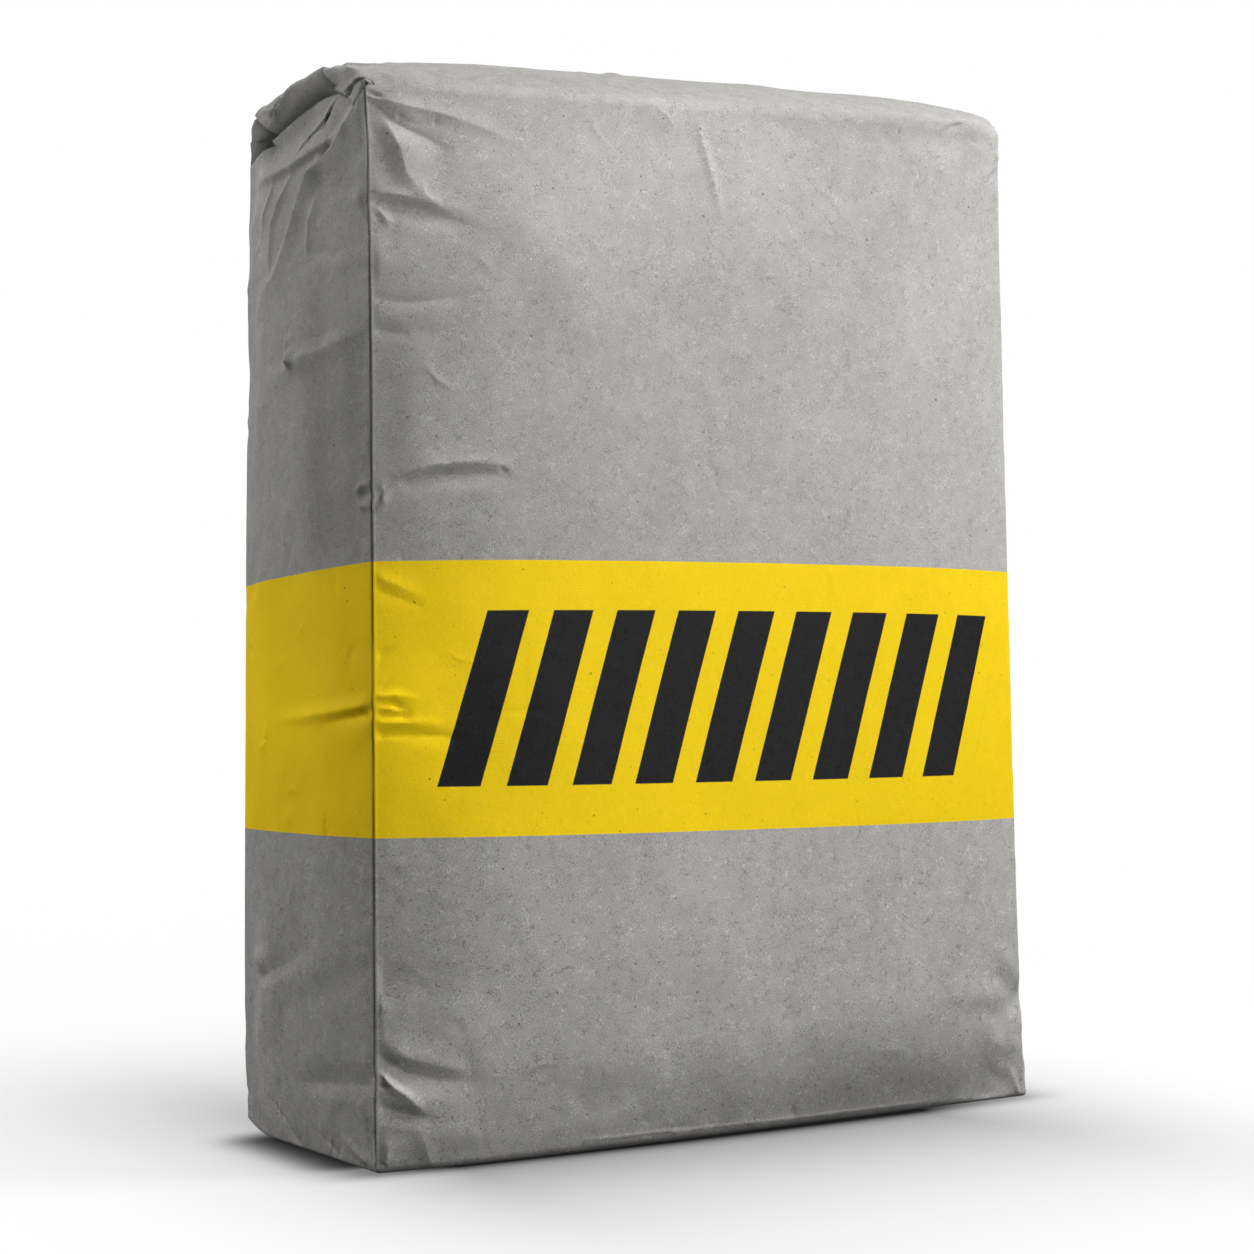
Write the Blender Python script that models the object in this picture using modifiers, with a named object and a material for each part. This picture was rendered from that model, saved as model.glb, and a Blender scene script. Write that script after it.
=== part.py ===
"""A tightly filled cement sack that stands on its folded base, as one closed solid.

Metres, +Z up. The printed front looks along -Y, and the origin is the middle of the base.
The sack is a cage of box rows, drawn out to the filled shape and smoothed by subdivision.
In the cage u runs 0 to 1 from the left end to the right, v from the front to the back, and
w from the floor to the top corners.
"""

import math

import bmesh
import bpy

# Driving dimensions of the filled sack
FOOT_LEFT = -0.209          # the two ends at the floor
FOOT_RIGHT = 0.2075
HEAD_LEFT = -0.1985         # the same under the top corners: the contents have settled
HEAD_RIGHT = 0.202
FOOT_DEPTH = 0.163          # front corner to back corner
HEAD_DEPTH = 0.154
CORNER_HEIGHT = 0.561

# How far the contents push each panel out
BELLY = 0.014               # front and back panels
SIDE_SWELL = 0.008          # the two narrow side panels
CROWN = 0.029               # top panel
CROWN_AT_LEFT_END = 0.58    # what is left of the crown over the left edge
CROWN_AT_RIGHT_END = 0.58
CROWN_SKEW = 0.78           # under 1 brings the left end's peak towards the front

# Powers that shape those curves: higher keeps a change nearer to its end of the sack
BELLY_POWER = 2.4           # higher makes the belly flatter in the middle
SAG_POWER = 0.8             # under 1 brings the fullest height down
FULLNESS_POWER = 0.7        # under 1 fills the sack out quickly over the base and under the top
CROWN_POWER = 4             # how far down the upright panels the crown draws them up
LEFT_END_POWER = 3          # how soon the crown drops towards the left
RIGHT_END_POWER = 6         # and towards the right
PANEL_END_POWER = 6         # for what belongs to an end panel
TWIST_POWER = 3
CORNER_POWER = 12           # for what belongs to a corner

# Corners that the handling has changed
HEAD_FLARE = 0.0020         # the top corners are drawn outward
HEAD_TWIST = 0.0020         # the left end's front top corner stands out from the back one
FOOT_EAR = 0.004            # the right foot corners point outward
LIFTED_CORNER = 0.010       # the back left foot corner is off the floor
LIFTED_CORNER_BULGE = 0.001

# Printed band, at the middle of the sack, and how it slopes along the width and the depth
BAND_BOTTOM = 0.165
BAND_TOP = 0.304
BAND_SLOPE_ACROSS = 0.0275
BAND_SLOPE_DEEP = 0.050

# Rows of the cage between the corners
COLUMN_ROWS = (0.03, 0.09, 0.18, 0.30, 0.43, 0.57, 0.70, 0.82, 0.91, 0.97)
DEPTH_ROWS = (0.08, 0.26, 0.50, 0.74, 0.92)
LOWER_ROWS = (0.025, 0.08, 0.16, 0.235)
BAND_ROWS = (0.38, 0.46)
UPPER_ROWS = (0.63, 0.71, 0.79, 0.86, 0.92, 0.965)

# How sharp each fold stays after the subdivision, 0 to 1
UPRIGHT_FOLD = 0.95
BASE_FOLD = 1.0
HEAD_FOLD = 0.45
SMOOTHING_LEVELS = 1
FOLD_ANGLE = math.radians(40)       # faces that meet at more than this are shaded apart

# Folded top of the left side panel: the slot behind its free lip, and the pocket behind that
SLOT_FRONT_YZ = (-0.034, 0.5655)
SLOT_BACK_YZ = (0.060, 0.5440)
SLOT_OPENING = 0.006
SLOT_DEPTH = 0.009
POCKET_YZ = (0.071, 0.5535)
POCKET_SIZE = 0.009
POCKET_DEPTH = 0.010
POCKET_TURN = math.radians(45)
CUTTER_REACH = 0.020        # how far a cutter stands outside the panel

PAPER_GREY = (0.36, 0.355, 0.345, 1.0)
BAND_YELLOW = (0.83, 0.58, 0.02, 1.0)
PAPER_ROUGHNESS = 0.85
BAND_ROUGHNESS = 0.7

FLAT = 1e-6                 # cage coordinates nearer than this are the same row


def clear_scene():
    """Removes every object of the scene."""
    for item in list(bpy.data.objects):
        bpy.data.objects.remove(item, do_unlink=True)


def new_collection(name):
    """A collection of that name, linked to the scene."""
    collection = bpy.data.collections.new(name)
    bpy.context.scene.collection.children.link(collection)
    return collection


def paper_material(name, colour, roughness):
    """A matte paper colour."""
    material = bpy.data.materials.new(name)
    material.use_nodes = True
    shader = material.node_tree.nodes["Principled BSDF"]
    shader.inputs["Base Color"].default_value = colour
    shader.inputs["Roughness"].default_value = roughness
    shader.inputs["Metallic"].default_value = 0.0
    material.diffuse_color = colour
    return material


def crown_rise(u, v):
    """Rise of the top panel over its corners: an arch across the depth that drops at both ends."""
    near_left = max(0.0, 1.0 - 2.0 * u) ** LEFT_END_POWER
    near_right = max(0.0, 2.0 * u - 1.0) ** RIGHT_END_POWER
    skewed = v ** (1.0 - (1.0 - CROWN_SKEW) * near_left)
    across = 1.0 - (2.0 * skewed - 1.0) ** 2
    along = 1.0 - (1.0 - CROWN_AT_LEFT_END) * near_left - (1.0 - CROWN_AT_RIGHT_END) * near_right
    return CROWN * across * along


def fullness(w):
    """0 at the base and the top corners, 1 at the fullest height."""
    return math.sin(math.pi * w ** SAG_POWER) ** FULLNESS_POWER if 0.0 < w < 1.0 else 0.0


def lifted_corner_share(u, v, w):
    """1 at the back left foot corner, falling to 0 at the first row along each edge."""
    share = 1.0
    reach = (COLUMN_ROWS[0], 1.0 - DEPTH_ROWS[-1], LOWER_ROWS[0])
    for distance, row in zip((u, 1.0 - v, w), reach):
        share *= max(0.0, 1.0 - distance / row)
    return share


def mix(low, high, share):
    """The value between two others."""
    return low + (high - low) * share


def sack_point(u, v, w):
    """Place on the filled sack of the cage point u, v, w."""
    side = 2.0 * u - 1.0
    face = 2.0 * v - 1.0
    lifted = lifted_corner_share(u, v, w)

    x = mix(mix(FOOT_LEFT, HEAD_LEFT, w), mix(FOOT_RIGHT, HEAD_RIGHT, w), u)
    x += side * SIDE_SWELL * (1.0 - face ** 2) * fullness(w)
    x += side * abs(side) ** PANEL_END_POWER * HEAD_FLARE * w ** CORNER_POWER
    x += face * HEAD_TWIST * (1.0 - u) ** PANEL_END_POWER * w ** TWIST_POWER
    x += FOOT_EAR * u ** CORNER_POWER * (1.0 - w) ** CORNER_POWER
    x -= LIFTED_CORNER_BULGE * lifted

    y = 0.5 * face * mix(FOOT_DEPTH, HEAD_DEPTH, w)
    y += face * BELLY * (1.0 - abs(side) ** BELLY_POWER) * fullness(w)
    y += LIFTED_CORNER_BULGE * lifted

    z = CORNER_HEIGHT * w + crown_rise(u, v) * w ** CROWN_POWER
    z -= (BAND_SLOPE_ACROSS * x + BAND_SLOPE_DEEP * y) * math.sin(math.pi * w)
    z += LIFTED_CORNER * lifted
    return x, y, z


def add_rows(cage, axis, fractions):
    """Cuts the cage across one axis at each fraction."""
    normal = [0.0, 0.0, 0.0]
    normal[axis] = 1.0
    for fraction in fractions:
        place = [0.0, 0.0, 0.0]
        place[axis] = fraction
        geometry = cage.verts[:] + cage.edges[:] + cage.faces[:]
        bmesh.ops.bisect_plane(cage, geom=geometry, plane_co=place, plane_no=normal)


def edge_fold(edge):
    """Sharpness of a cage edge that lies on one of the box's twelve folds."""
    ends = [vert.co for vert in edge.verts]
    on_side = all(min(end.x, 1.0 - end.x) < FLAT for end in ends)
    on_face = all(min(end.y, 1.0 - end.y) < FLAT for end in ends)
    on_base = all(end.z < FLAT for end in ends)
    on_head = all(end.z > 1.0 - FLAT for end in ends)
    if on_side and on_face:
        return UPRIGHT_FOLD
    if on_base and (on_side or on_face):
        return BASE_FOLD
    if on_head and (on_side or on_face):
        return HEAD_FOLD
    return 0.0


def is_foot_corner(vert):
    """Whether a cage vertex is one of the four corners that the sack stands on."""
    u, v, w = vert.co
    return w < FLAT and min(u, 1.0 - u) < FLAT and min(v, 1.0 - v) < FLAT


def build_cage(rows):
    """The subdivided unit box, with its folds marked and its band faces given the second material."""
    cage = bmesh.new()
    bmesh.ops.create_cube(cage, size=1.0)
    bmesh.ops.translate(cage, verts=cage.verts[:], vec=(0.5, 0.5, 0.5))
    for axis, fractions in enumerate(rows):
        add_rows(cage, axis, fractions)
    folds = cage.edges.layers.float.new("crease_edge")
    for edge in cage.edges:
        edge[folds] = edge_fold(edge)
    points = cage.verts.layers.float.new("crease_vert")
    for vert in cage.verts:
        vert[points] = 1.0 if is_foot_corner(vert) else 0.0
    return cage


def mark_band(cage, low, high):
    """Gives the upright faces between two heights of the cage the second material."""
    for face in cage.faces:
        middle = face.calc_center_median()
        upright = abs(face.normal.z) < 0.5
        face.material_index = 1 if upright and low < middle.z < high else 0


def make_sack(collection):
    """The filled sack: the drawn out cage, smoothed, with the slots of its folded top cut in."""
    band_low = BAND_BOTTOM / CORNER_HEIGHT
    band_high = BAND_TOP / CORNER_HEIGHT
    height_rows = LOWER_ROWS + (band_low,) + BAND_ROWS + (band_high,) + UPPER_ROWS
    cage = build_cage((COLUMN_ROWS, DEPTH_ROWS, height_rows))
    cage.normal_update()
    mark_band(cage, band_low, band_high)
    for vert in cage.verts:
        vert.co = sack_point(*vert.co)
    mesh = bpy.data.meshes.new("cement_sack")
    cage.to_mesh(mesh)
    cage.free()
    mesh.materials.append(paper_material("sack_paper", PAPER_GREY, PAPER_ROUGHNESS))
    mesh.materials.append(paper_material("band_print", BAND_YELLOW, BAND_ROUGHNESS))
    mesh.shade_smooth()
    mesh.set_sharp_from_angle(angle=FOLD_ANGLE)
    sack = bpy.data.objects.new("cement_sack", mesh)
    collection.objects.link(sack)
    smooth = sack.modifiers.new("smooth", "SUBSURF")
    smooth.levels = SMOOTHING_LEVELS
    smooth.render_levels = SMOOTHING_LEVELS
    return sack


def make_cutter(name, collection, size, location, turn):
    """A box that is cut out of the left end, turned about the X axis."""
    mesh = bpy.data.meshes.new(name)
    box = bmesh.new()
    bmesh.ops.create_cube(box, size=1.0)
    bmesh.ops.scale(box, vec=size, verts=box.verts[:])
    box.to_mesh(mesh)
    box.free()
    cutter = bpy.data.objects.new(name, mesh)
    cutter.location = location
    cutter.rotation_euler = (turn, 0.0, 0.0)
    cutter.hide_render = True
    cutter.display_type = "WIRE"
    collection.objects.link(cutter)
    return cutter


def cut(target, cutter):
    """Takes the cutter out of the target."""
    difference = target.modifiers.new(cutter.name, "BOOLEAN")
    difference.operation = "DIFFERENCE"
    difference.solver = "EXACT"
    difference.object = cutter


def left_panel_x(height):
    """Where the left side panel's fold lies at a height."""
    x, _, _ = sack_point(0.0, 0.0, min(1.0, height / CORNER_HEIGHT))
    return x


def cut_folded_top(sack, cutters):
    """Cuts the slot behind the left panel's lip, and the pocket at the back corner."""
    run = SLOT_BACK_YZ[0] - SLOT_FRONT_YZ[0]
    drop = SLOT_BACK_YZ[1] - SLOT_FRONT_YZ[1]
    slot_y = 0.5 * (SLOT_FRONT_YZ[0] + SLOT_BACK_YZ[0])
    slot_z = 0.5 * (SLOT_FRONT_YZ[1] + SLOT_BACK_YZ[1])
    slot_x = left_panel_x(slot_z) + 0.5 * (SLOT_DEPTH - CUTTER_REACH)
    slot_size = (SLOT_DEPTH + CUTTER_REACH, math.hypot(run, drop), SLOT_OPENING)
    slot = make_cutter("lip_slot", cutters, slot_size, (slot_x, slot_y, slot_z), math.atan2(drop, run))
    cut(sack, slot)

    pocket_x = left_panel_x(POCKET_YZ[1]) + 0.5 * (POCKET_DEPTH - CUTTER_REACH)
    pocket_size = (POCKET_DEPTH + CUTTER_REACH, POCKET_SIZE, POCKET_SIZE)
    pocket = make_cutter("back_pocket", cutters, pocket_size, (pocket_x, *POCKET_YZ), POCKET_TURN)
    cut(sack, pocket)


def main():
    clear_scene()
    parts = new_collection("cement_bag")
    cutters = new_collection("cement_bag_cutters")
    sack = make_sack(parts)
    cut_folded_top(sack, cutters)


main()
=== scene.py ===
"""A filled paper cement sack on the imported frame: the sack with its folds, its print, and the studio.

Metres, +Z up. The printed front looks along -Y, and the origin is the middle of the base.
The sack is one closed skin over the unit box u, v, w (left to right, front to back, floor to top).
The skin is drawn out to the filled shape, and then raised and sunk along folds.
"""

import math

import bpy
import numpy as np
from bpy.props import FloatProperty, FloatVectorProperty, IntProperty, PointerProperty
from bpy.types import Operator, Panel, PropertyGroup
from mathutils import Matrix


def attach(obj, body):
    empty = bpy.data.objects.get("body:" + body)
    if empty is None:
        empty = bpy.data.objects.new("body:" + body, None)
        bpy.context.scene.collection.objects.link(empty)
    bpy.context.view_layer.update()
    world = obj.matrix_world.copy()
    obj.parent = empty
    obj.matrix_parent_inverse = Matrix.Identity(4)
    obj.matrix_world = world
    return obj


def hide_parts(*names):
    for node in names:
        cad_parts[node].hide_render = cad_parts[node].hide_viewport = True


bl_info = {
    "name": "Cement sack",
    "version": (1, 0, 0),
    "blender": (4, 5, 0),
    "location": "3D View > Sidebar > Cement sack",
    "description": "Makes a filled paper cement sack with its folds and print, and a studio round it",
    "category": "Add Mesh",
}

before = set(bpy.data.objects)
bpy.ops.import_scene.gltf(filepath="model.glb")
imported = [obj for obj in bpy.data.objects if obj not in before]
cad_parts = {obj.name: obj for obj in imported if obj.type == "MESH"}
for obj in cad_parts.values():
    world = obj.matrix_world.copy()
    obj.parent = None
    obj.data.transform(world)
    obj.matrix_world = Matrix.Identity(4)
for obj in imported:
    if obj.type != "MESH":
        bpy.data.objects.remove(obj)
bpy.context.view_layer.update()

MM = 0.001
MOST_TRIANGLES = 190_000
SEED = 50

# The photograph's camera: its place in metres and its turns in radians
CAMERA_PLACE = (-0.93196, -1.55474, 0.30169)
CAMERA_TURN, CAMERA_TILT, CAMERA_ROLL = -0.53726, -0.01421, -0.01594
LIGHTS_AIM = (0.0, 0.0, 0.3)
FOOT_STAND, FOOT_BOW = 0.0065, 0.15     # how far the front's foot bows out, and how fast that falls sideways

# Powers of the curves of the filled shape: higher keeps a change nearer to its end of the sack
PILLOW_POWER = 4
CROWN_POWER = 4
PANEL_END_POWER = 6
CORNER_POWER = 12
FOOT_ROUNDING = 0.30        # share of the height over which the foot fills out
HEAD_ROUNDING = 0.50        # and over which the panels turn in to the top
TUCK_REACH = 0.11           # share of the height over which the foot curves in at the right end
END_DROP = 0.42             # how much of its rise the top loses at each end
END_SKEW = 0.22             # how far the rise moves to the back at the left end
LEAN_ALONG, LEAN_DEEP = 0.0275, 0.050       # sag of the middle heights per metre to the right and back
LIFTED_REACH = (0.09, 0.20, 0.05)           # shares of width, depth and height that the lifted corner takes
HIGH_ON_SIDE = 430          # height in millimetres over which the left panel has its folded corner
# The groove beside the pressed edge, its width and the width of the edge's lip, in metres
GROOVE_PLACE, GROOVE_WIDTH, LIP_WIDTH = 0.0012, 0.0005, 0.0008
BAR_HEIGHT = 0.091          # height of the bars in metres, for the room that their lean takes

# Grid spacing in metres along each side of the skin: (place, spacing), finest at the folds
WIDTH_SPACING = ((0.0, 0.0003), (0.003, 0.0005), (0.010, 0.0008), (0.07, 0.0009), (0.16, 0.0016),
                 (0.34, 0.0018), (0.385, 0.0012), (0.413, 0.0009))
DEPTH_SPACING = ((0.0, 0.0003), (0.003, 0.0006), (0.010, 0.0008), (0.150, 0.0008), (0.163, 0.0007))
HEIGHT_SPACING = ((0.0, 0.0008), (0.02, 0.0010), (0.12, 0.0010), (0.20, 0.0012), (0.40, 0.0011),
                  (0.50, 0.0008), (0.53, 0.0007), (0.561, 0.0006))

# Folds in millimetres, drawn over the photo and rounded: the kind, the widths to the left and
# right of the line, and the line's points, each with the height over the panel there.
# Front panel: x and z
FRONT_FOLDS = (
    ("tent", 9, 24, (-162.5, 493, 0), (-173.5, 502.5, 1), (-183.5, 514, 2.6), (-186.5, 525.5, 3.7),
        (-192, 538, 3.2), (-196, 544, 1.9), (-200.5, 549, 0.48)),
    ("crease", 8, 13, (-201, 549.5, -1.4), (-196.5, 546.5, -2.4), (-190, 541, -3.2), (-182.5, 537, -2.7),
        (-172, 532.5, -1.6), (-155.5, 524.5, 0)),
    ("crease", 11, 8, (-199, 552, 0.8), (-185.5, 548.5, 2.2), (-166, 545.5, 1.8), (-149, 541.5, 1.1),
        (-114, 529.5, 0)),
    ("tent", 2.2, 1.6, (-201, 554.5, -0.8), (-197.5, 553, -1.4), (-194, 552, -0.16)),
    ("crease", 1.6, 2.2, (-200.5, 551.5, 0.8), (-196.5, 551, 0.32)),
    ("tent", 3, 2.5, (-187, 547, 0), (-185, 542.5, -0.8), (-185.5, 539, 0)),
    ("tent", 3, 2.5, (-166.5, 546, 0), (-166, 540, -0.6), (-167.5, 537, 0)),
    ("crease", 15, 8, (-200, 503.5, 1.3), (-186.5, 502, 2.1), (-168, 498, 1.4), (-145.5, 487, 0)),
    ("tent", 7, 13, (-200, 498, -2.2), (-191, 497, -2.7), (-179, 496, -2.4), (-155.5, 490, -1.3),
        (-137.5, 482, 0)),
    ("tent", 4.5, 7, (-190, 486, 0), (-193.5, 490, 1.6), (-197.5, 495, 1.8), (-199.5, 496.5, 1)),
    ("soft", 9, 9, (-197.5, 467, 1.1), (-182.5, 468, 0.8), (-165.5, 471, 0)),
    ("crease", 9, 9, (-198, 448, -0.8), (-183.5, 447, -1.3), (-164, 449, -0.8), (-140, 452.5, 0)),
    ("crease", 8, 8, (-198.5, 432, -1), (-183.5, 431, -0.8), (-166.5, 433.5, 0)),
    ("soft", 9, 9, (-197.5, 442.5, 0.6), (-169, 442.5, 0.6), (-158.5, 443, 0)),
    ("crease", 12, 7, (-192.5, 357, 0.32), (-180, 361.5, 1.3), (-171.5, 363.5, 1.8), (-151.5, 365, 1.6),
        (-136, 363.5, 0.8), (-126, 361, 0)),
    ("tent", 6, 10, (-190.5, 354, -0.32), (-184, 355, -1.6), (-175, 357, -1.9), (-163.5, 358.5, -1.9),
        (-150, 359.5, -1.8), (-134.5, 358, -0.8), (-124.5, 354.5, 0)),
    ("tent", 2, 2.5, (-137, 363, 0), (-134, 361, -1), (-130.5, 358.5, 0)),
    ("tent", 3.5, 5, (-200, 342.5, 0.32), (-199, 345.5, 1.6), (-197.5, 349, 1.1), (-198.5, 353.5, 0.32)),
    ("tent", 2.5, 4, (-200.5, 347, -1.1), (-197, 350.5, -0.8), (-196.5, 353.5, 0)),
    ("crease", 5, 6, (-202, 244.5, 1.4), (-194.5, 245.5, 1), (-180.5, 242.5, 0)),
    ("tent", 4, 4, (-202, 241, -1.3), (-196.5, 241.5, -1.4), (-190.5, 238, -0.48), (-186, 236, 0)),
    ("tent", 3, 4, (-202.5, 239, 0.48), (-195.5, 238, 1), (-190, 236.5, 0.32)),
    ("tent", 4, 4, (-202.5, 235, -1), (-190.5, 234.5, -1), (-186, 234, 0)),
    ("crease", 5, 6, (-202.5, 231.5, 0.8), (-191.5, 231, 1.1), (-174, 231, 0.32)),
    ("crease", 6, 9, (-202.5, 225, -1.6), (-191.5, 225.5, -1.4), (-173.5, 224, -1), (-153.5, 221, 0)),
    ("crease", 7, 8, (-201.5, 299.5, -0.8), (-190, 295, -0.6), (-174, 288, 0)),
    ("crease", 7, 8, (-201.5, 305.5, 0.8), (-192.5, 302, 0.6), (-176.5, 294, 0)),
    ("tent", 16, 9, (-206.5, 63, 1.4), (-197, 60, 1.6), (-177.5, 55, 1.1), (-157, 48, 0)),
    ("tent", 8, 13, (-206.5, 61, -2.1), (-199, 55, -2.9), (-191.5, 50.5, -2.6), (-174, 46, -1.6),
        (-149, 43, 0)),
    ("tent", 5, 5, (-207, 51.5, 1), (-203.5, 48, 2.4), (-200, 44, 2.6), (-193.5, 39.5, 1.9),
        (-183.5, 29, 0.32)),
    ("tent", 6, 9, (-207, 35, -1.6), (-199.5, 32, -2.6), (-192, 29.5, -2.1), (-183, 28, -0.32)),
    ("tent", 3, 3, (-207, 45, -1.9), (-204, 44.5, -1.6), (-200.5, 44, -0.32)),
    ("crease", 9, 9, (-206.5, 78.5, 1.1), (-204.5, 85, 1.4), (-205, 91, 0.32)),
    ("soft", 11, 14, (-189, 61, 0), (-177, 66.5, 0.8), (-161, 73.5, 1), (-143, 79.5, 0)),
    ("soft", 12, 12, (-202, 96.5, -1), (-177.5, 95, -1), (-164, 83.5, 0)),
    ("soft", 13, 10, (-207, 7.1, 0), (-184, 12.5, 1.3), (-155.5, 23, 0.8), (-126.5, 30.5, 0)),
    ("crease", 6, 5, (-207, 3, 1.3), (-204.5, 7.9, 1.3), (-202, 17, 0.32)),
    ("tent", 2, 3, (-207.5, 5.7, -1), (-205, 3.9, -1), (-203.5, 3.2, 0)),
    ("soft", 20, 26, (-126.5, 36, 0), (-79, 48, 1.4), (-23.5, 48, 1), (22, 38.5, 0)),
    ("soft", 22, 22, (-15, 8.9, 0), (2.6, 40.5, 1.1), (34.5, 65, 0)),
    ("soft", 20, 26, (48.5, 47.5, 0), (89, 60.5, 1.3), (138.5, 62, 0.8), (160.5, 65.5, 0)),
    ("crease", 1.6, 2.4, (-102, 7.4, 0), (-77.5, 7.1, 0.4), (24.5, 5.4, 0.4), (119, 4.9, 0.32), (140, 4.5, 0)),
    ("soft", 9, 7, (138.5, 65, 0), (160.5, 63.5, 1.3), (185, 62.5, 1.4), (199, 61, 0.6)),
    ("soft", 7, 8, (174.5, 73, 0), (187.5, 68.5, -1.4), (202, 60.5, -2.1)),
    ("soft", 7, 7, (191, 47, -1.1), (198.5, 52, -1.8), (206, 57, -1.4)),
    ("soft", 7, 7, (179.5, 24, 0), (184.5, 33.5, 1.4), (181.5, 42, 0.8), (180.5, 49.5, 0)),
    ("soft", 5, 6, (191.5, 86, 0.8), (197.5, 78.5, 1.1), (202, 71, 0.32)),
    ("soft", 8, 8, (193, 22.5, 0), (200, 30.5, 1), (204.5, 44.5, 0.48)),
    ("crease", 12, 5, (204, 1.7, 1.6), (201, 9, 1.4), (198, 17.5, 0.48)),
    ("soft", 12, 10, (179.5, 6.4, -1.3), (190.5, 12.5, -1.6), (193, 18, -0.6)),
    ("tent", 4, 6, (157.5, 553.5, 0), (167.5, 558, -2.2), (174, 559.5, -2.6), (183, 562.5, -2.1),
        (193.5, 564, -1.3), (203.5, 564.5, -0.8)),
    ("soft", 6, 7, (150, 549.5, -0.8), (159, 548.5, -1.9), (171.5, 553.5, -1.8), (184, 557.5, -0.32)),
    ("crease", 5, 4, (191.5, 524.5, 0), (190, 530.5, 0.6), (198.5, 536.5, 1.4), (204, 546, 1.6),
        (205, 556, 1.3)),
    ("soft", 9, 9, (185.5, 537.5, 0), (183.5, 546, 1.3), (182.5, 553, 1)),
    ("crease", 2, 2.5, (-38.5, 559.5, 0), (-27.5, 550, 0.6), (-25, 545, 0)),
    ("crease", 6, 7, (2.9, 494.5, 0), (1.6, 505.5, 0.6), (-2.9, 524, 1), (-7.3, 542, 1), (-9, 551.5, 0)),
    ("soft", 10, 8, (-41, 558.5, 0.6), (-27, 548, 1.1), (-27, 534, 0)),
    ("tent", 1.5, 1.5, (0.8, 471.5, 0), (3.3, 469.5, -0.56), (6.3, 467, 0)),
    ("soft", 16, 16, (-139, 502, 0), (-116.5, 487, 1), (-94.5, 451, 0.8), (-87, 414, 0)),
    ("soft", 22, 20, (-91, 520, 0), (-62, 489, -1), (-39.5, 452.5, -0.8), (-10.2, 410, 0)),
    ("soft", 24, 22, (33.5, 493.5, 0), (57, 444.5, 0.8), (47.5, 389, 0.6), (25, 334, 0)),
    ("crease", 5, 5, (-12, 369.5, 0), (-4.9, 357, -0.6), (-2.9, 345, 0)),
)

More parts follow.
